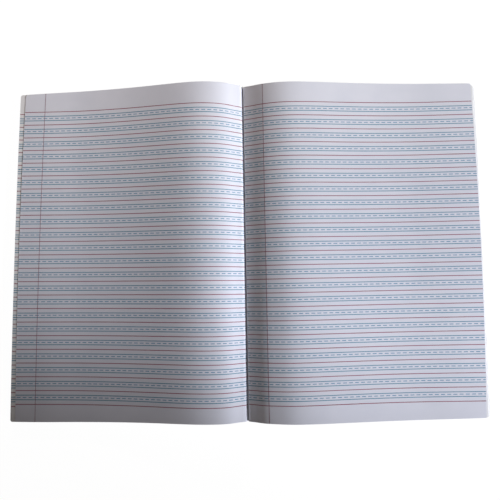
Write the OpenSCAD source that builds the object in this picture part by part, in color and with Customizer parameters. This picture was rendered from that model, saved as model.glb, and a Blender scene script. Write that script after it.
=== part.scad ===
// Open composition notebook, lying face up on a table.
// X runs across the spread, Y up the page and Z up from the table, with the fold at X = 0.
// The leaves arch out of the fold, crest, and settle flat towards each fore-edge.
// Every layer of the book is the same curve, taken at its own depth below the top leaf.

/* [Leaves] */
// Height of the pages
page_h = 248; // [180:1:320]
// Reach of the lowest leaf and the covers from the fold
reach = 175; // [165:0.5:230]
// Thickness of the leaves on each side of the fold
stack_t = 3.2; // [1.6:0.1:6]
// Distance by which the lowest leaf stands past the top one on the left
left_fan = 5; // [1:0.5:8]
// Distance by which the lowest leaf stands past the top one on the right
right_fan = 3; // [1:0.5:8]
// Steps in which the leaves fan out
fan_steps = 8; // [3:1:12]
// Share of the fan that the first step takes, under the top leaves
lead_step = 0.6; // [0.2:0.05:0.8]
// Radius of the trimmed corners
corner_r = 3; // [1:0.5:10]

/* [Arches] */
// Height of the left arch above the fold
left_rise = 11.5; // [4:0.1:20]
// Height of the right arch above the fold
right_rise = 9; // [4:0.1:20]
// Distance of the left crest from the fold
left_crest = 31; // [24:1:40]
// Distance of the right crest from the fold
right_crest = 32; // [24:1:40]
// How sharply the leaves leave the fold
arch_power = 1.15; // [1.1:0.05:1.5]
// Distance from the fold at which the leaves lie flat
settle_x = 128; // [110:1:150]
// Half width of the flat foot of the fold
fold_flat = 0.6; // [0.4:0.1:1]
// Points along each arch, half of them on each side of its crest
arch_points = 8; // [8:2:16]

/* [Covers] */
// Thickness of the cover card
board_t = 0.45; // [0.3:0.05:1]
// Gap between the lowest leaf and its cover
page_gap = 0.3; // [0.2:0.05:0.6]
// Distance of each cover's hinge line from the fold
hinge_x = 1.5; // [1.2:0.1:3]
// Gap between the hinge line and the edge of the card
hinge_gap = 0.3; // [0.2:0.1:1]

/* [Spine] */
// Thickness of the cloth tape
tape_t = 0.3; // [0.2:0.05:0.5]
// Width of tape on each side of the fold
tape_lap = 16; // [8:1:30]
// Thickness of the sewing thread
thread_d = 0.8; // [0.5:0.05:1]
// Clearance round the thread in its groove
thread_gap = 0.1; // [0.05:0.05:0.2]
// Length of one stitch
stitch_len = 8; // [4:0.5:9]
// Distance from one stitch to the next
stitch_pitch = 11; // [10:0.5:20]
// Bare fold left at the head and the tail
stitch_inset = 12; // [6:1:30]

/* [Ruling] */
// Height of one ruled row, from red rule to red rule
row_pitch = 10; // [8:0.5:14]
// Distance from the head of the page to the first red rule
head_margin = 16.2; // [8:0.1:30]
// Least distance from the last red rule to the tail of the page
tail_margin = 10; // [5:1:20]
// Distance by which the right page's rules stand above the left page's
right_shift = 0.6; // [0:0.1:2]
// Width of a printed rule
rule_w = 0.5; // [0.3:0.05:0.7]
// Distance of the left page's margin rule from the edge of its leaf
left_margin_in = 15.3; // [8:0.1:30]
// Distance of the right page's margin rule from the fold
right_margin_in = 14.8; // [8:0.1:30]
// Thickness given to the ink
ink_t = 0.06; // [0.03:0.01:0.1]

/* [Hidden] */
$fn = 32;

// Each side of the spread is [direction, rise, crest, fan, shift of the rules].
left = [-1, left_rise, left_crest, left_fan, 0];
right = [1, right_rise, right_crest, right_fan, right_shift];

// Depths below the top leaf at which each layer starts
cover_depth = stack_t + page_gap;
tape_depth = cover_depth + board_t;
// Height of the top leaf where the book lies flat
flat_z = tape_depth;
book_h = flat_z + tape_t + max(left_rise, right_rise) + 1;
// The points crowd towards the fold and the crest, where the bends are tightest.
fold_crowding = 1.4;
crest_crowding = 1.2;
slope_step = 0.05;
thread_sides = 8;

// Height of an arch, as a share of its crest
function swell(x, crest) = pow((x / crest) * exp(1 - x / crest), arch_power);
function lift(x, side) =
    let (foot = swell(settle_x, side[2]))
    side[1] * (swell(x, side[2]) - foot) / (1 - foot);
function top_z(x, side) =
    flat_z + max(x < side[2] ? tape_t : 0, lift(x, side));
// Angle of the top leaf, level in the foot of the fold and where the book lies flat
function lean(x, side) =
    x <= fold_flat || x >= settle_x ? 0
    : atan((lift(x + slope_step, side) - lift(x - slope_step, side)) / (2 * slope_step));
// Distances from one place up to another, without the last
function run(from, to, crowding) =
    let (count = arch_points / 2)
    [for (i = [0:count - 1]) from + (to - from) * pow(i / count, crowding)];
function stations(side) = concat([0], run(fold_flat, side[2], fold_crowding),
                                 run(side[2], settle_x, crest_crowding), [settle_x]);
// Points of the layer at one depth, from the fold to where it lies flat
function layer(depth, side) = [for (x = stations(side))
    let (a = lean(x, side))
    [x + depth * sin(a), top_z(x, side) - depth * cos(a)]];
// Height of that layer over one point of the table
function layer_z(x, depth, side) = lookup(x, layer(depth, side));
function backwards(list) = [for (i = [len(list) - 1:-1:0]) list[i]];
function past(list, x) = [for (p = list) if (p[0] > x) p];
function before(list, x) = [for (p = list) if (p[0] < x) p];
function mirrored(list, side) = [for (p = list) [side[0] * p[0], p[1]]];

// Section between two depths, from one distance to another
function band(from, to, x0, x1, side) =
    let (upper = layer(from, side), lower = layer(to, side))
    concat([[x0, lookup(x0, upper)]],
           before(past(upper, x0), x1),
           [[x1, lookup(x1, upper)], [x1, lookup(x1, lower)]],
           backwards(before(past(lower, x0), x1)),
           [[x0, lookup(x0, lower)]]);

// Share of the fan at each step, from the top leaves to the lowest
function fan_share(k) =
    k == 0 ? 0 : lead_step + (1 - lead_step) * (k - 1) / (fan_steps - 2);
// The fore-edge is a flight of steps that go outward on the way down.
function fore_edge(side) = [for (k = [0:fan_steps - 1], end = [0, 1])
    [reach - side[3] * (1 - fan_share(k)),
     flat_z - stack_t * (k + end) / fan_steps]];
function half_stack(side) =
    concat(layer(0, side), fore_edge(side), backwards(layer(stack_t, side)));

// A section drawn in X and Z, swept along Y
module sweep(points, side, length) {
    rotate([90, 0, 0])
        linear_extrude(height = length, center = true)
            polygon(mirrored(points, side));
}

// Outline of the trimmed book, as a block that cuts its four corners
module trimmed_block() {
    linear_extrude(height = book_h)
        union() {
            square([2 * reach, page_h - 2 * corner_r], center = true);
            square([2 * (reach - corner_r), page_h], center = true);
            for (x = [-1, 1], y = [-1, 1])
                translate([x * (reach - corner_r), y * (page_h / 2 - corner_r)])
                    circle(corner_r);
        }
}

// Groove along the back of the fold, into which the stitches are drawn
module thread_groove() {
    groove_w = thread_d + 2 * thread_gap;
    groove_h = tape_t + thread_d + thread_gap;
    translate([-groove_w / 2, -page_h, 0])
        cube([groove_w, 2 * page_h, groove_h]);
}

module pages() {
    color("whitesmoke")
        difference() {
            intersection() {
                union() {
                    sweep(half_stack(left), left, page_h);
                    sweep(half_stack(right), right, page_h);
                }
                trimmed_block();
            }
            thread_groove();
        }
}

module cover(side) {
    intersection() {
        sweep(band(cover_depth, tape_depth, hinge_x + hinge_gap, reach, side), side, page_h);
        trimmed_block();
    }
}

module front_cover() {
    color("darkslategray")
        cover(left);
}

module back_cover() {
    color("darkslategray")
        cover(right);
}

module spine_tape() {
    color("black")
        union() {
            sweep(band(tape_depth, tape_depth + tape_t, 0, tape_lap, left), left, page_h);
            sweep(band(tape_depth, tape_depth + tape_t, 0, tape_lap, right), right, page_h);
        }
}

// One stitch lies on the tape, along the back of the fold.
module stitch() {
    rotate([90, 0, 0])
        rotate(180 / thread_sides)
            cylinder(d = thread_d / cos(180 / thread_sides), h = stitch_len, center = true,
                     $fn = thread_sides);
}

module sewing_thread() {
    sewn = page_h - 2 * stitch_inset - stitch_len;
    gaps = floor(sewn / stitch_pitch);
    color("ivory")
        for (i = [0:gaps])
            translate([0, (i - gaps / 2) * stitch_pitch, tape_t + thread_d / 2])
                stitch();
}

rows = floor((page_h - head_margin - right_shift - tail_margin) / row_pitch);
function row_y(k, side) = page_h / 2 - head_margin + side[4] - k * row_pitch;

// One printed rule, from the fold to the edge of the top leaf
module rule(y, side) {
    translate([0, y, 0])
        sweep(band(-ink_t, 0, 0, reach - side[3], side), side, rule_w);
}

// A red rule bounds each row.
module red_rules() {
    color("indianred")
        for (side = [left, right], k = [0:rows])
            rule(row_y(k, side), side);
}

// Two blue rules part each row into thirds.
module blue_rules() {
    color("lightsteelblue")
        for (side = [left, right], k = [0:rows - 1], third = [1, 2])
            rule(row_y(k, side) - row_pitch * third / 3, side);
}

// A margin rule runs down the page, printed over the others.
module margin_rule(x, side) {
    sweep(band(-2 * ink_t, -ink_t, x - rule_w / 2, x + rule_w / 2, side), side, page_h);
}

// Each page has its margin on its left.
module margin_rules() {
    color("brown") {
        margin_rule(reach - left_fan - left_margin_in, left);
        margin_rule(right_margin_in, right);
    }
}

pages();
front_cover();
back_cover();
spine_tape();
sewing_thread();
red_rules();
blue_rules();
margin_rules();
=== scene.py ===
"""Dresses the open notebook: leaves, printed ruling, card covers and a cloth spine.

X runs across the spread, Y up the page and Z up from the table, with the fold at X = 0.
Sizes are in millimetres until Blender gets them. Only the lamps are placed in metres.
"""

import math
import random
from dataclasses import dataclass

import bpy
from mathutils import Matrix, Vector


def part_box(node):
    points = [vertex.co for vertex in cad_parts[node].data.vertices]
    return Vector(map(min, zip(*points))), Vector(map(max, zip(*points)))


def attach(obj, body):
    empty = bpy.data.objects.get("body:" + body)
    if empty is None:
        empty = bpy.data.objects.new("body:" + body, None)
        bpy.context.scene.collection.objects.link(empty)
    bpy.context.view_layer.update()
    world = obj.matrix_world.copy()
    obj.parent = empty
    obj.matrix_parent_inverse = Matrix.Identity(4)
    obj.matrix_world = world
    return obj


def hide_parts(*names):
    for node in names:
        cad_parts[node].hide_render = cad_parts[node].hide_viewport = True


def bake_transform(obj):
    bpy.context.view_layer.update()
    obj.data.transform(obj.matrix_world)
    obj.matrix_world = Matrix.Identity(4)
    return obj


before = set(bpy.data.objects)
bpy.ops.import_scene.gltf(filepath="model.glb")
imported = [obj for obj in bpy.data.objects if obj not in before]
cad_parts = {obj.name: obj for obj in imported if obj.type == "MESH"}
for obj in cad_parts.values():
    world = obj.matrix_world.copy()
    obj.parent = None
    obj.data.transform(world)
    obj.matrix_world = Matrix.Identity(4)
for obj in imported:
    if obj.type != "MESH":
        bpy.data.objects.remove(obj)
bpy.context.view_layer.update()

MM = 0.001
random.seed(7)

# Book sizes, which follow the frame where its boxes give them
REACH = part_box("pages")[1].x / MM
HALF_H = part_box("pages")[1].y / MM
STACK_T = 3.2
PAGE_GAP = 0.3
BOARD_T = 0.45
TAPE_T = 0.3
TAPE_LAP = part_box("spine_tape")[1].x / MM
HINGE_X = 1.5
HINGE_GAP = 0.3

# Depths below the top leaf at which the covers and the tape start
COVER_DEPTH = STACK_T + PAGE_GAP
TAPE_DEPTH = COVER_DEPTH + BOARD_T

# Height of the top leaf where the book lies flat, and at the fold
FLAT_Z = TAPE_DEPTH
FOLD_Z = FLAT_Z + TAPE_T

# Arch of the leaves, between the flank that leads out of the fold and the flat
ARCH_POWER = 1.15
SETTLE_X = 128.0
FLANK_X = 9.0
FOLD_SLOPE = 0.5
SETTLE_SOFTNESS = 0.35
SLOPE_STEP = 0.05
# The stations crowd towards the fold and the crest, where the bends are tightest.
FLANK_CROWDING = 1.6
ARCH_CROWDING = 1.3

# Dip of the top leaf into the fold, and the depth in the stack at which none is left
CREASE_DEPTH = 2.2
CREASE_REACH = 3.0

# Leaves, each a little thinner than its share of the stack
LEAVES = 40
LEAF_T = STACK_T / LEAVES
LEAF_SHARE = 0.86
TRIM_JITTER = 0.05
# Share of the way down the stack at which the fore-edge steps out from the top leaves
STEP_AT = 0.07
TOP_LEAVES = math.ceil(STEP_AT * (LEAVES - 1))
# Reach of a flare, the share of it before the edge, and the reach of a droop
FLARE_REACH = 8.0
FLARE_START = 0.5
DROOP_REACH = 1.3

# Loose leaves at the top of the stack, which part a little and don't lie quite even
LOOSE_LEAVES = 6
LOOSE_GAP = 0.03
SWAY = 0.25
SWAY_Y = 41.0
RIPPLE = 0.03
RIPPLE_X = 23.0
RIPPLE_Y = 57.0
RIPPLE_START = 30.0

# Covers and tape
COVER_INSET = 0.6
COVER_ROWS = 16
COVER_FIRST_STEP = 0.2
CARD_EASE = 0.08
TAPE_ROWS = 48

# Stations along a leaf, from the fold to its fore-edge
FLANK_STATIONS = 12
ARCH_STATIONS = 34
FLAT_STATIONS = 6
CORNER_STATIONS = 5
FINE_ROWS = 32
PLAIN_ROWS = 4
LEAST_STOP = 0.01
SMOOTH_ANGLE = 30

# Ruling
ROW_PITCH = 10.0
ROWS = 22
FIRST_RULE_Y = 107.7
RULE_W = 0.5
RULE_START = 0.5
PRINT_INSET = 0.15
MARGIN_W = 0.28
MARGIN_ROWS = 60
MARGIN_INSET = 0.1
DASH = 2.8
DASH_W = 0.42
DASH_PITCH = 4.4
DASH_STEP = 0.1
DASH_SHIFT = 0.4
LEAST_DASH = 0.4
INK_LIFT = 0.012
INK_T = 0.03
# Corners of a strip of ink, as half widths across it and thicknesses up
STRIP_CORNERS = ((-1, 0), (1, 0), (1, 1), (-1, 1))

# Ends of the rules on the leaf that stands past the top ones, printed nearer the tail
MARK_DROP = 1.5
MARK_OVERLAP = 1.0

# Waviness of the head, where the rules rise and fall across the page
WAVE_FOOT = 55.0
WAVE_RISE = 45.0
WAVE_TOP_AT = 0.2
WAVE_HALF = 0.75

# Colours, each from the darkest to the lightest of its mottling
PAPER = ((0.8, 0.825, 0.885), (0.84, 0.86, 0.915))
# Lower leaves: a lighter, less blue copy of the paper, painted light where their fore-edges
# catch the lamp
LIT_EDGE_PAPER = ((0.85, 0.86, 0.85), (0.89, 0.9, 0.885))
RED = ((0.3, 0.085, 0.115), (0.36, 0.125, 0.155))
BLUE = ((0.095, 0.28, 0.39), (0.135, 0.335, 0.46))
DASH_BLUE = ((0.04, 0.24, 0.41), (0.075, 0.3, 0.48))
DARK_RED = ((0.25, 0.095, 0.155), (0.31, 0.135, 0.195))
CARD = ((0.05, 0.1, 0.135), (0.085, 0.15, 0.195))
CLOTH = ((0.018, 0.018, 0.022), (0.05, 0.05, 0.056))
COTTON = ((0.7, 0.68, 0.6), (0.88, 0.86, 0.79))

# Plain colours of the card, the cloth and the thread, where no pattern is drawn
CARD_BASE = (0.07, 0.13, 0.17)
CLOTH_BASE = (0.03, 0.03, 0.035)
COTTON_BASE = (0.85, 0.83, 0.76)

# Gloss that all surfaces share, and where in a pattern the two colours lie
SPECULAR = 0.25
DARK_AT = 0.3
LIGHT_AT = 0.7

# Camera, placed where lines of the ruling put it
CAMERA_AT = (13.89, -25.97, 373.37)
CAMERA_TURN = (4.056, 1.650, -0.993)
CAMERA_LENS = 36.0
SENSOR = 36.0
CLIP_START = 10.0

# Radius of a lamp, as a share of its distance
LAMP_SPREAD = 0.05

# Surroundings, white where they're seen, and the light that they give
WHITE = (1, 1, 1, 1)
FILL_LIGHT = 0.024
FILL_COLOR = (1.0, 0.85, 0.7, 1)

# Floor, which glows nearly white where it's seen and lies just below the book
FLOOR_HALF = 3000.0
FLOOR_DROP = 0.2
FLOOR_COLOR = (0.8, 0.8, 0.8, 1)
FLOOR_FAINT = (0.1, 0.1, 0.1, 1)
FLOOR_GLOW = 0.98


@dataclass
class Side:
    """One side of the spread.

    A line up the page has a distance from the fold, a slant and a bow.
    """

    name: str
    sign: int
    # Height and place of the crest, the sag before it, and half the width of the crease
    rise: float
    crest: float
    sag: tuple
    crease_half: float
    # Lines up the page: the fore-edges of the top and the lowest leaves, and the margin
    top_edge: tuple
    low_edge: tuple
    margin: tuple
    # Polynomials of the distance from the fold, as a share of the reach
    head: tuple
    tail: tuple
    # Distance by which the lower leaves spread at the fore-edge
    fan: float
    # Radii of the corners, and the share of the rounding that is kept at the tail
    top_corner: float
    corner: float
    tail_round: float
    # How far leaves part, turn up and turn down at the fore-edge
    lift: float
    flare: float
    droop: float
    # Height, place and width of the swelling, and how far up the page it starts
    tail_swell: tuple
    # Shift and tilt of the rules, and the height of their wave at the head
    rule_shift: float
    rule_tilt: float
    rule_wave: float


LEFT = Side(
    name="left", sign=-1, rise=11.5, crest=31.0, sag=(0.35, 23.0, 13.0), crease_half=1.1,
    top_edge=(170.4, -0.0182, -1.5), low_edge=(174.4, -0.0165, -0.9),
    margin=(154.87, -0.0215, -1.0), head=(0.95, 0, 0, -2.2), tail=(0, 7.6, -16.7, 10.4),
    fan=0.75, top_corner=2.2, corner=1.6, tail_round=1.0,
    lift=0.08, flare=0.35, droop=0.0, tail_swell=(0.45, 14.0, 9.0, 0.0),
    rule_shift=0.0, rule_tilt=-0.0124, rule_wave=0.68)
RIGHT = Side(
    name="right", sign=1, rise=9.0, crest=32.0, sag=(0.5, 19.0, 10.0), crease_half=0.3,
    top_edge=(172.3, 0.0, -2.1), low_edge=(174.4, 0.0, -0.3),
    margin=(14.78, -0.0019, 0.16), head=(0, 0, -2.0, 0), tail=(0, -2.7, 3.5, 0),
    fan=2.55, top_corner=1.0, corner=3.0, tail_round=0.35,
    lift=0.1, flare=0.0, droop=0.03, tail_swell=(0.75, 11.0, 8.0, 80.0),
    rule_shift=0.62, rule_tilt=0.0022, rule_wave=0.25)
SIDES = (LEFT, RIGHT)


def smooth(t):
    """Soft step from 0 to 1."""
    t = min(1.0, max(0.0, t))
    return t * t * (3 - 2 * t)


def swell(x, crest):
    """Height of an arch, as a share of its crest."""
    return (x / crest * math.exp(1 - x / crest)) ** ARCH_POWER


def arch(x, side):
    """Height of the top leaf above where it lies flat, with a slight sag before its crest."""
    foot = swell(SETTLE_X, side.crest)
    sag, sag_x, sag_width = side.sag
    raw = side.rise * (swell(x, side.crest) - foot) / (1 - foot)
    raw -= sag * math.exp(-(((x - sag_x) / sag_width) ** 2))
    return (raw + math.hypot(raw, SETTLE_SOFTNESS)) / 2


def slope(x, side):
    """Slope of the arch at a distance from the fold."""
    return (arch(x + SLOPE_STEP, side) - arch(x - SLOPE_STEP, side)) / (2 * SLOPE_STEP)


def offset_point(x, depth, side):
    """Point at a depth below the arch, square to its curve."""
    angle = math.atan(slope(x, side))
    return x + depth * math.sin(angle), FLAT_Z + arch(x, side) - depth * math.cos(angle)


def flank_point(t, depth, side):
    """Point between the fold and the arch, on a curve that meets both."""
    end_x, end_z = offset_point(FLANK_X, depth, side)
    start_z = FOLD_Z - depth
    start_slope = FOLD_SLOPE * start_z / FOLD_Z
    end_slope = slope(FLANK_X, side)
    z = (start_z * (2 * t**3 - 3 * t**2 + 1) + end_x * start_slope * (t**3 - 2 * t**2 + t)
         + end_z * (3 * t**2 - 2 * t**3) + end_x * end_slope * (t**3 - t**2))
    x = end_x * t
    dip = CREASE_DEPTH * max(0.0, 1 - depth / CREASE_REACH)
    return x, z - dip * math.exp(-((x / side.crease_half) ** 2))


def section(depth, side):
    """Points of one layer, from the fold to where the book lies flat."""
    points = [flank_point((i / FLANK_STATIONS) ** FLANK_CROWDING, depth, side)
              for i in range(FLANK_STATIONS)]
    for i in range(ARCH_STATIONS + 1):
        x = FLANK_X + (SETTLE_X - FLANK_X) * (i / ARCH_STATIONS) ** ARCH_CROWDING
        points.append(offset_point(x, depth, side))
    return points


def fan_out(share, side):
    """How far a lower leaf falls short of the lowest one, for its share of the way down."""
    way = (share - STEP_AT) / (1 - STEP_AT)
    return side.fan * (1 - way)


def up_the_page(line, y):
    """Distance from the fold of a line up the page."""
    distance, slant, bow = line
    return distance + slant * y + bow * (y / HALF_H) ** 2


def edge_at(y, share, side):
    """Distance of a leaf's fore-edge from the fold, at a height on the page."""
    if share < STEP_AT:
        return up_the_page(side.top_edge, y)
    return up_the_page(side.low_edge, y) - fan_out(share, side)


def polynomial(x, terms):
    """A polynomial of the distance from the fold, as a share of the reach."""
    return sum(term * (x / REACH) ** n for n, term in enumerate(terms))


def head_at(x, side):
    """Height on the page at which its head is cut."""
    return HALF_H + polynomial(x, side.head)


def tail_at(x, side):
    """Height on the page at which its tail is cut."""
    return -HALF_H + polynomial(x, side.tail)


def loose_lift(x, y, share, side):
    """How far a leaf near the top rises from the stack."""
    looseness = max(0.0, 1 - share * LEAVES / LOOSE_LEAVES)
    towards_edge = smooth((x - SETTLE_X) / (side.top_edge[0] - SETTLE_X))
    sway = 1 - SWAY + SWAY * math.sin(y / SWAY_Y + side.sign)
    ripple = RIPPLE * math.sin(x / RIPPLE_X + y / RIPPLE_Y) * smooth(x / RIPPLE_START)
    return looseness * (side.lift * towards_edge * sway + LOOSE_GAP + ripple)


def edge_lift(x, y, share, side):
    """How far a leaf turns up at a flared fore-edge, or a lower one down at a drooping one."""
    lift = side.flare * max(0.0, (x - side.top_edge[0]) / FLARE_REACH + FLARE_START) ** 2
    if share >= STEP_AT:
        past = (x - edge_at(y, share, side)) / DROOP_REACH
        lift -= side.droop * max(0.0, past + 1) ** 2
    return lift


def tail_lift(x, y, share, side):
    """How far the upper leaves swell beside the fold, growing towards the tail."""
    height, place, width, start = side.tail_swell
    towards_tail = (1 - share) * smooth((start - y) / (start + HALF_H))
    return towards_tail * height * math.exp(-(((x - place) / width) ** 2))


def page_lift(x, y, share, side):
    """How far a leaf rises from where the stack would lie evenly."""
    return (loose_lift(x, y, share, side) + edge_lift(x, y, share, side)
            + tail_lift(x, y, share, side))


class Leaf:
    """One leaf: stations from the fold to the fore-edge, and rows up the page."""

    def __init__(self, depth, side, share, rows, corner):
        self.side = side
        self.share = share
        self.rows = rows
        self.corner = corner
        self.curve = section(depth, side)
        self.flat_z = FLAT_Z - depth
        self.tail_trim = random.uniform(0, TRIM_JITTER)
        self.head_trim = random.uniform(0, TRIM_JITTER)
        self.settled = len(self.curve) - 1
        self.before_corner = self.settled + FLAT_STATIONS
        self.stations = self.before_corner + CORNER_STATIONS + 1

    def corner_turn(self, i):
        """Angle of the rounded corner that a station has reached."""
        return math.pi / 2 * max(0, i - self.before_corner) / CORNER_STATIONS

    def inset(self, i):
        """How far the rounded corner takes a station down from the head."""
        return self.corner * (1 - math.cos(self.corner_turn(i)))

    def point(self, i, y):
        """Place of a station at a height on the page, before its side is mirrored."""
        if i <= self.settled:
            x, z = self.curve[i]
        else:
            edge = edge_at(y, self.share, self.side)
            if i <= self.before_corner:
                start = self.curve[-1][0]
                way = (i - self.settled) / FLAT_STATIONS
                x = start + (edge - self.corner - start) * way
            else:
                x = edge - self.corner * (1 - math.sin(self.corner_turn(i)))
            z = self.flat_z + arch(x, self.side)
        return x, y, z + page_lift(x, y, self.share, self.side)

    def grid(self):
        """Rows of points up the page for each station."""
        points = []
        for i in range(self.stations):
            inset = self.inset(i)
            x = self.point(i, 0)[0]
            low = tail_at(x, self.side) + self.tail_trim + inset * self.side.tail_round
            high = head_at(x, self.side) - self.head_trim - inset
            column = []
            for j in range(self.rows + 1):
                y = low + (high - low) * j / self.rows
                column.append(self.point(i, y))
            points.append(column)
        return points

    def on_sheet(self, x, y):
        """Height of the sheet at a place on it."""
        before = self.point(0, y)
        for i in range(1, self.stations):
            after = self.point(i, y)
            if after[0] >= x:
                t = (x - before[0]) / (after[0] - before[0])
                return before[2] + (after[2] - before[2]) * t
            before = after
        return before[2]

    def places_between(self, x0, x1, y):
        """Distances from one to another with every station between them."""
        inner = []
        for i in range(self.stations):
            x = self.point(i, y)[0]
            if x0 + LEAST_STOP < x < x1 - LEAST_STOP:
                inner.append(x)
        return [x0, *inner, x1]


def mesh_object(name, points, faces, material):
    """A mesh made of points in millimetres."""
    mesh = bpy.data.meshes.new(name)
    mesh.from_pydata([(x * MM, y * MM, z * MM) for x, y, z in points], [], faces)
    mesh.validate()
    mesh.update()
    mesh.materials.append(material)
    obj = bpy.data.objects.new(name, mesh)
    bpy.context.scene.collection.objects.link(obj)
    return obj


def shade(obj):
    """Smooth shading that keeps the sharp edges."""
    with bpy.context.temp_override(object=obj, active_object=obj, selected_objects=[obj],
                                   selected_editable_objects=[obj]):
        bpy.ops.object.shade_smooth_by_angle(angle=math.radians(SMOOTH_ANGLE))


def add_shell(points, faces, upper, lower, sign):
    """Adds a closed thin sheet between two grids of points."""
    edge = len(upper) - 1
    head = len(upper[0]) - 1
    start = len(points)
    count = (edge + 1) * (head + 1)
    for grid in (upper, lower):
        for column in grid:
            points.extend((sign * x, y, z) for x, y, z in column)

    def at(layer, i, j):
        return start + layer * count + i * (head + 1) + j

    def face(*corners):
        faces.append(corners if sign > 0 else corners[::-1])

    for i in range(edge):
        for j in range(head):
            face(at(0, i, j), at(0, i + 1, j), at(0, i + 1, j + 1), at(0, i, j + 1))
            face(at(1, i, j), at(1, i, j + 1), at(1, i + 1, j + 1), at(1, i + 1, j))
    for i in range(edge):
        face(at(1, i, 0), at(1, i + 1, 0), at(0, i + 1, 0), at(0, i, 0))
        face(at(0, i, head), at(0, i + 1, head), at(1, i + 1, head), at(1, i, head))
    for j in range(head):
        face(at(0, 0, j), at(0, 0, j + 1), at(1, 0, j + 1), at(1, 0, j))
        face(at(1, edge, j), at(1, edge, j + 1), at(0, edge, j + 1), at(0, edge, j))


def leaf_at(k, side):
    """The leaf that lies at a place in the stack, counted from the top."""
    share = k / (LEAVES - 1)
    rows = FINE_ROWS if k < LOOSE_LEAVES else PLAIN_ROWS
    corner = side.top_corner if share < STEP_AT else side.corner
    return Leaf(k * LEAF_T, side, share, rows, corner)


def lowered(grid, thickness):
    """The underside of a leaf, square to its curve."""
    under = []
    for i, column in enumerate(grid):
        if 0 < i < len(grid) - 1:
            dx = grid[i + 1][0][0] - grid[i - 1][0][0]
            dz = grid[i + 1][0][2] - grid[i - 1][0][2]
        else:
            dx, dz = 1.0, 0.0
        length = math.hypot(dx, dz)
        nx, nz = dz / length, dx / length
        under.append([(x + thickness * nx, y, z - thickness * nz) for x, y, z in column])
    return under


def build_leaves(side, places, name, material):
    """Some of the leaves on one side of the fold, each a thin closed sheet."""
    points, faces = [], []
    for k in places:
        leaf = leaf_at(k, side)
        grid = leaf.grid()
        under = lowered(grid, LEAF_T * LEAF_SHARE)
        add_shell(points, faces, grid, under, side.sign)
    obj = mesh_object(f"{side.name}_{name}", points, faces, material)
    shade(obj)
    return obj


def add_strip(points, faces, rings, flip):
    """Adds a closed strip through rings of points, with its faces turned over if asked."""
    start = len(points)
    size = len(rings[0])
    for ring in rings:
        points.extend(ring)

    def face(*corners):
        faces.append(corners[::-1] if flip else corners)

    for a in range(start, len(points) - size, size):
        b = a + size
        for j in range(size):
            k = (j + 1) % size
            face(a + j, b + j, b + k, a + k)
    face(*range(start, start + size))
    face(*reversed(range(len(points) - size, len(points))))


def ribbon(points, faces, leaf, stops, height_at, width):
    """One printed line across a leaf, a flat closed strip of ink."""
    sign = leaf.side.sign
    rings = []
    for x in stops:
        ring = []
        for across, up in STRIP_CORNERS:
            y = height_at(x) + across * width / 2
            z = leaf.on_sheet(x, y) + INK_LIFT + up * INK_T
            ring.append((sign * x, y, z))
        rings.append(ring)
    add_strip(points, faces, rings, flip=sign > 0)


def rule_line(y, side):
    """Height on the page of a printed rule, at a distance from the fold."""
    wave = side.rule_wave * smooth((y - WAVE_FOOT) / WAVE_RISE)

    def height(x):
        turn = math.pi * (x / REACH - WAVE_TOP_AT) / WAVE_HALF
        return y + side.rule_shift + side.rule_tilt * side.sign * x + wave * math.cos(turn)

    return height


def rule_heights():
    """The printed rules of a page, as pairs of a kind and a height."""
    rules = []
    for k in range(ROWS + 1):
        y = FIRST_RULE_Y - k * ROW_PITCH
        rules.append(("red", y))
        if k < ROWS:
            rules.append(("blue", y - ROW_PITCH / 3))
            rules.append(("dash", y - ROW_PITCH / 2))
            rules.append(("blue", y - ROW_PITCH * 2 / 3))
    return rules


def page_edge(leaf, y):
    """Distance from the fold at which a leaf's print is cut off."""
    return edge_at(y, leaf.share, leaf.side) - PRINT_INSET


def dashes(leaf, travelled):
    """Start and end of each dash, spaced along the paper halfway up the page.

    The paper travelled before the rule starts sets where its first dash falls.
    """
    spans = []
    x = RULE_START
    limit = page_edge(leaf, 0)
    begin = None
    while x < limit:
        rise = leaf.on_sheet(x + DASH_STEP, 0) - leaf.on_sheet(x, 0)
        travelled += math.hypot(DASH_STEP, rise)
        inked = travelled % DASH_PITCH < DASH
        if inked and begin is None:
            begin = x
        if not inked and begin is not None:
            spans.append((begin, x))
            begin = None
        x += DASH_STEP
    if begin is not None:
        spans.append((begin, limit))
    return spans


def build_rules(side, materials):
    """The printed ruling of one page."""
    leaf = leaf_at(0, side)
    strips = {kind: ([], []) for kind in ("red", "blue", "dash")}
    spans = dashes(leaf, random.uniform(0, DASH_PITCH))
    for kind, y in rule_heights():
        line = rule_line(y, side)
        points, faces = strips[kind]
        if kind == "dash":
            shift = random.uniform(-DASH_SHIFT, DASH_SHIFT)
            for x0, x1 in spans:
                x0 = max(RULE_START, x0 + shift)
                x1 = min(page_edge(leaf, line(x1)), x1 + shift)
                if x1 - x0 > LEAST_DASH:
                    stops = leaf.places_between(x0, x1, line(x0))
                    ribbon(points, faces, leaf, stops, line, DASH_W)
        else:
            end = page_edge(leaf, line(side.top_edge[0]))
            stops = leaf.places_between(RULE_START, end, line(side.top_edge[0] / 2))
            ribbon(points, faces, leaf, stops, line, RULE_W)
    return {kind: mesh_object(f"{side.name}_{kind}_rules", *strips[kind], materials[kind])
            for kind in strips}


def build_marks(side, materials):
    """Ends of the rules that show on the leaf standing past the top ones."""
    leaf = leaf_at(TOP_LEAVES, side)
    strips = {"red": ([], []), "blue": ([], [])}
    for kind, y in rule_heights():
        line = rule_line(y - MARK_DROP, side)
        ink = "red" if kind == "red" else "blue"
        y_edge = line(side.top_edge[0])
        start = edge_at(y_edge, 0, side) - MARK_OVERLAP
        end = page_edge(leaf, y_edge)
        points, faces = strips[ink]
        stops = leaf.places_between(start, end, y_edge)
        ribbon(points, faces, leaf, stops, line, RULE_W)
    return {ink: mesh_object(f"{side.name}_{ink}_marks", *strips[ink], materials[ink])
            for ink in strips}


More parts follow.
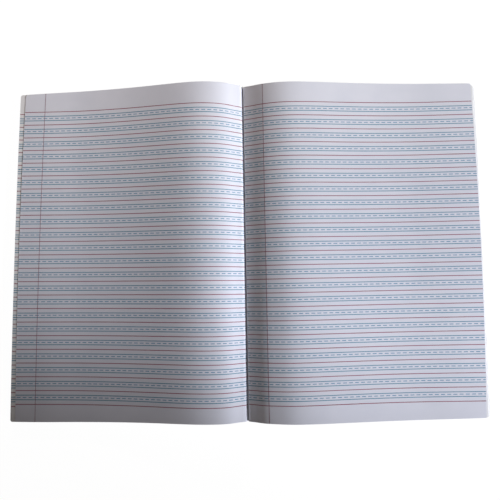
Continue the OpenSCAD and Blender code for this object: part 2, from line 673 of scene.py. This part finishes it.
def build_margin(side, material):
    """The margin rule, printed down the page over the others."""
    leaf = leaf_at(0, side)
    low = tail_at(side.margin[0], side) + MARGIN_INSET
    high = head_at(side.margin[0], side) - MARGIN_INSET
    rings = []
    for j in range(MARGIN_ROWS + 1):
        y = low + (high - low) * j / MARGIN_ROWS
        ring = []
        for across, up in STRIP_CORNERS:
            x = up_the_page(side.margin, y) + across * MARGIN_W / 2
            z = leaf.on_sheet(x, y) + INK_LIFT + INK_T + up * INK_T
            ring.append((side.sign * x, y, z))
        rings.append(ring)
    points, faces = [], []
    add_strip(points, faces, rings, flip=side.sign < 0)
    return mesh_object(f"{side.name}_margin_rule", points, faces, material)


def card_grid(depth, side):
    """Points of one face of a cover, from the hinge to the fore-edge, eased all round."""
    hinge = HINGE_X + HINGE_GAP
    curve = [p for p in section(depth, side) if p[0] > hinge + COVER_FIRST_STEP]
    curve = [(hinge + CARD_EASE, curve[0][1]), *curve]
    start = curve[-1][0]
    columns = []

    def column(place, drop):
        x_middle = place(side.low_edge[0])[0]
        low = tail_at(x_middle, side) + COVER_INSET + CARD_EASE + drop * side.tail_round
        high = head_at(x_middle, side) - COVER_INSET - CARD_EASE - drop
        points = []
        for j in range(COVER_ROWS + 1):
            y = low + (high - low) * j / COVER_ROWS
            x, z = place(edge_at(y, 1, side) - COVER_INSET - CARD_EASE)
            points.append((x, y, z))
        columns.append(points)

    def flat(x):
        return x, FLAT_Z - depth + arch(x, side)

    for point in curve:
        column(lambda edge: point, 0)
    for n in range(1, FLAT_STATIONS + 1):
        share = n / FLAT_STATIONS
        column(lambda edge: flat(start + (edge - side.corner - start) * share), 0)
    for n in range(1, CORNER_STATIONS + 1):
        turn = math.pi / 2 * n / CORNER_STATIONS
        column(lambda edge: flat(edge - side.corner * (1 - math.sin(turn))),
               side.corner * (1 - math.cos(turn)))
    return columns


def build_cover(side, name, material):
    """A curved card cover."""
    points, faces = [], []
    upper = card_grid(COVER_DEPTH, side)
    lower = card_grid(TAPE_DEPTH, side)
    add_shell(points, faces, upper, lower, side.sign)
    obj = mesh_object(name, points, faces, material)
    shade(obj)
    return obj


def tape_grid(depth, side):
    """Points of one face of the tape, which nowhere goes below the table."""
    columns = []
    for x, z in section(depth, side):
        if x < TAPE_LAP:
            columns.append([(x, -HALF_H + 2 * HALF_H * j / TAPE_ROWS, max(z, 0.0))
                            for j in range(TAPE_ROWS + 1)])
    return columns


def build_tape(side, material):
    """Half of the cloth tape, from the fold to its edge on the cover."""
    points, faces = [], []
    upper = tape_grid(TAPE_DEPTH, side)
    lower = tape_grid(TAPE_DEPTH + TAPE_T, side)
    count = min(len(upper), len(lower))
    add_shell(points, faces, upper[:count], lower[:count], side.sign)
    obj = mesh_object(f"{side.name}_tape", points, faces, material)
    shade(obj)
    return obj


def new_material(name, color, roughness):
    """A material with its principled shader and an object-space coordinate."""
    material = bpy.data.materials.new(name)
    material.use_nodes = True
    nodes = material.node_tree.nodes
    shader = nodes["Principled BSDF"]
    shader.inputs["Base Color"].default_value = (*color, 1)
    shader.inputs["Roughness"].default_value = roughness
    shader.inputs["Specular IOR Level"].default_value = SPECULAR
    coords = nodes.new("ShaderNodeTexCoord")
    return material, shader, coords


def noise(material, coords, scale, detail, stretch=(1, 1, 1)):
    """A cloudy pattern in object space, finer the larger its scale."""
    nodes, links = material.node_tree.nodes, material.node_tree.links
    mapping = nodes.new("ShaderNodeMapping")
    mapping.inputs["Scale"].default_value = stretch
    links.new(coords.outputs["Object"], mapping.inputs["Vector"])
    texture = nodes.new("ShaderNodeTexNoise")
    texture.inputs["Scale"].default_value = scale
    texture.inputs["Detail"].default_value = detail
    links.new(mapping.outputs["Vector"], texture.inputs["Vector"])
    return texture.outputs["Fac"]


def bands(material, coords, direction, scale, distortion=0.0):
    """A pattern of parallel bands in object space, finer the larger its scale."""
    nodes, links = material.node_tree.nodes, material.node_tree.links
    wave = nodes.new("ShaderNodeTexWave")
    wave.bands_direction = direction
    wave.inputs["Scale"].default_value = scale
    wave.inputs["Distortion"].default_value = distortion
    links.new(coords.outputs["Object"], wave.inputs["Vector"])
    return wave.outputs["Fac"]


def tinted(material, shader, pattern, tones):
    """Drives the base colour from a pattern, between two tones."""
    nodes, links = material.node_tree.nodes, material.node_tree.links
    ramp = nodes.new("ShaderNodeValToRGB")
    for element, place, tone in zip(ramp.color_ramp.elements, (DARK_AT, LIGHT_AT), tones):
        element.position = place
        element.color = (*tone, 1)
    links.new(pattern, ramp.inputs["Fac"])
    links.new(ramp.outputs["Color"], shader.inputs["Base Color"])


def bumped(material, shader, pattern, strength, distance):
    """Relief of the surface from a pattern, with its depth in metres."""
    nodes, links = material.node_tree.nodes, material.node_tree.links
    bump = nodes.new("ShaderNodeBump")
    bump.inputs["Strength"].default_value = strength
    bump.inputs["Distance"].default_value = distance
    links.new(pattern, bump.inputs["Height"])
    links.new(bump.outputs["Normal"], shader.inputs["Normal"])


def paper_material(name, tones):
    """Uncoated paper, slightly clouded, with its fibres along the page."""
    material, shader, coords = new_material(name, tones[1], roughness=0.9)
    cloud = noise(material, coords, scale=60, detail=6)
    tinted(material, shader, cloud, tones)
    fibre = noise(material, coords, scale=2600, detail=4, stretch=(1, 2.2, 1))
    bumped(material, shader, fibre, strength=0.25, distance=0.00006)
    return material


def ink_material(name, tones):
    """Printing ink, a little uneven along the line."""
    material, shader, coords = new_material(name, tones[1], roughness=0.8)
    flow = noise(material, coords, scale=900, detail=4)
    tinted(material, shader, flow, tones)
    return material


def card_material():
    """Dark card with a fine grain."""
    material, shader, coords = new_material("cover_card", CARD_BASE, roughness=0.55)
    cloud = noise(material, coords, scale=700, detail=8)
    tinted(material, shader, cloud, CARD)
    grain = noise(material, coords, scale=1800, detail=6)
    bumped(material, shader, grain, strength=0.5, distance=0.0001)
    return material


def cloth_material():
    """Plain weave from two crossed bands of threads."""
    material, shader, coords = new_material("spine_cloth", CLOTH_BASE, roughness=0.75)
    nodes, links = material.node_tree.nodes, material.node_tree.links
    shader.inputs["Sheen Weight"].default_value = 0.2
    warp, weft = (bands(material, coords, direction, scale=700, distortion=0.6)
                  for direction in ("X", "Y"))
    weave = nodes.new("ShaderNodeMath")
    weave.operation = "MULTIPLY"
    links.new(warp, weave.inputs[0])
    links.new(weft, weave.inputs[1])
    tinted(material, shader, weave.outputs["Value"], CLOTH)
    bumped(material, shader, weave.outputs["Value"], strength=0.7, distance=0.0001)
    return material


def thread_material():
    """Twisted cotton, with its strands across the run of the thread."""
    material, shader, coords = new_material("thread", COTTON_BASE, roughness=0.8)
    strands = bands(material, coords, "DIAGONAL", scale=600)
    tinted(material, shader, strands, COTTON)
    bumped(material, shader, strands, strength=0.6, distance=0.0001)
    return material


def build_camera():
    """The camera, looking almost straight down at the spread."""
    data = bpy.data.cameras.new("camera")
    data.lens = CAMERA_LENS
    data.sensor_width = SENSOR
    data.clip_start = CLIP_START * MM
    camera = bpy.data.objects.new("camera", data)
    camera.rotation_mode = "ZXY"
    camera.location = [v * MM for v in CAMERA_AT]
    camera.rotation_euler = [math.radians(a) for a in CAMERA_TURN]
    bpy.context.scene.collection.objects.link(camera)
    bpy.context.scene.camera = camera


def soft_spot(name, bearing, height, distance, aim, cone, blend, power, color):
    """A broad lamp whose light fades out towards the edge of its cone.

    It stands at a bearing and a height in degrees, at a distance in metres.
    """
    data = bpy.data.lights.new(name, "SPOT")
    data.shadow_soft_size = LAMP_SPREAD * distance
    data.spot_size = math.radians(cone)
    data.spot_blend = blend
    data.energy = power
    data.color = color
    light = bpy.data.objects.new(name, data)
    turn, rise = math.radians(bearing), math.radians(height)
    at = distance * Vector((math.cos(turn) * math.cos(rise), math.sin(turn) * math.cos(rise),
                            math.sin(rise)))
    light.location = at
    light.rotation_euler = (Vector(aim) - at).to_track_quat("-Z", "Y").to_euler()
    bpy.context.scene.collection.objects.link(light)


def build_lamps():
    """Low lamps to the right and at the head, fading towards the tail of the left page."""
    soft_spot("key", bearing=-30, height=20, distance=1.2, aim=(-0.006, 0.17, 0),
              cone=32.4, blend=0.82, power=84, color=(0.88, 0.89, 0.985))
    soft_spot("right_fill", bearing=20, height=20, distance=1.2, aim=(0, 0.592, 0),
              cone=62.6, blend=0.52, power=15.4, color=(1.0, 0.97, 0.84))
    soft_spot("head_fill", bearing=110, height=20, distance=0.6, aim=(0, 0, 0),
              cone=90, blend=1.0, power=4.0, color=(1.0, 0.85, 0.8))


def seen_directly(nodes, links):
    """Factor that is 1 where the camera, a reflection or clear glass shows a surface."""
    path = nodes.new("ShaderNodeLightPath")
    total = path.outputs["Is Camera Ray"]
    for ray in ("Is Glossy Ray", "Is Transmission Ray"):
        either = nodes.new("ShaderNodeMath")
        either.operation = "MAXIMUM"
        links.new(total, either.inputs[0])
        links.new(path.outputs[ray], either.inputs[1])
        total = either.outputs["Value"]
    return total


def build_world():
    """White surroundings that give the book only a weak, warm light."""
    world = bpy.data.worlds.new("studio")
    bpy.context.scene.world = world
    world.use_nodes = True
    nodes, links = world.node_tree.nodes, world.node_tree.links
    nodes.clear()
    fill = nodes.new("ShaderNodeBackground")
    fill.inputs["Color"].default_value = FILL_COLOR
    fill.inputs["Strength"].default_value = FILL_LIGHT
    white = nodes.new("ShaderNodeBackground")
    white.inputs["Color"].default_value = WHITE
    mix = nodes.new("ShaderNodeMixShader")
    output = nodes.new("ShaderNodeOutputWorld")
    links.new(seen_directly(nodes, links), mix.inputs["Fac"])
    links.new(fill.outputs["Background"], mix.inputs[1])
    links.new(white.outputs["Background"], mix.inputs[2])
    links.new(mix.outputs["Shader"], output.inputs["Surface"])


def floor_material():
    """Nearly white where it's seen, with a faint shadow, and plain grey as a reflector."""
    material = bpy.data.materials.new("floor")
    material.use_nodes = True
    nodes, links = material.node_tree.nodes, material.node_tree.links
    nodes.clear()
    diffuse = nodes.new("ShaderNodeBsdfDiffuse")
    diffuse.inputs["Color"].default_value = FLOOR_COLOR
    faint = nodes.new("ShaderNodeBsdfDiffuse")
    faint.inputs["Color"].default_value = FLOOR_FAINT
    glow = nodes.new("ShaderNodeEmission")
    glow.inputs["Color"].default_value = WHITE
    glow.inputs["Strength"].default_value = FLOOR_GLOW
    shown = nodes.new("ShaderNodeAddShader")
    mix = nodes.new("ShaderNodeMixShader")
    output = nodes.new("ShaderNodeOutputMaterial")
    links.new(faint.outputs["BSDF"], shown.inputs[0])
    links.new(glow.outputs["Emission"], shown.inputs[1])
    links.new(seen_directly(nodes, links), mix.inputs["Fac"])
    links.new(diffuse.outputs["BSDF"], mix.inputs[1])
    links.new(shown.outputs["Shader"], mix.inputs[2])
    links.new(mix.outputs["Shader"], output.inputs["Surface"])
    return material


def build_floor():
    """A floor wide enough to fill the picture, just below the book."""
    half = FLOOR_HALF
    corners = [(-half, -half, 0), (half, -half, 0), (half, half, 0), (-half, half, 0)]
    floor = mesh_object("floor", corners, [(0, 1, 2, 3)], floor_material())
    floor.location.z = -FLOOR_DROP * MM


def dress():
    """Builds every piece of the book and says what each one rides on."""
    paper = paper_material("paper", PAPER)
    # The lower leaves get the lighter copy of the paper, painted light on their fore-edges
    lit_edge_paper = paper_material("lit_edge_paper", LIT_EDGE_PAPER)
    inks = {"red": ink_material("red_ink", RED), "blue": ink_material("blue_ink", BLUE),
            "dash": ink_material("dash_ink", DASH_BLUE)}
    margin_ink = ink_material("margin_ink", DARK_RED)
    card = card_material()
    cloth = cloth_material()
    for side in SIDES:
        for leaves in (build_leaves(side, range(TOP_LEAVES), "top_leaves", paper),
                       build_leaves(side, range(TOP_LEAVES, LEAVES), "leaves", lit_edge_paper)):
            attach(leaves, "leaves")
            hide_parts("pages")
        prints = list(build_rules(side, inks).items())
        if side is LEFT:
            prints.extend(build_marks(side, inks).items())
        for kind, piece in prints:
            ink = "red" if kind == "red" else "blue"
            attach(piece, "leaves")
            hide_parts(f"{ink}_rules")
        margin = build_margin(side, margin_ink)
        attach(margin, "leaves")
        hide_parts("margin_rules")
        node = "front_cover" if side is LEFT else "back_cover"
        cover = build_cover(side, f"{side.name}_card", card)
        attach(cover, node)
        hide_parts(node)
        tape = build_tape(side, cloth)
        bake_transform(tape)
        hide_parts("spine_tape")
    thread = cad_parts["sewing_thread"]
    thread.data.materials.clear()
    thread.data.materials.append(thread_material())


bpy.context.scene.view_settings.view_transform = "Standard"
dress()
build_camera()
build_world()
build_lamps()
build_floor()
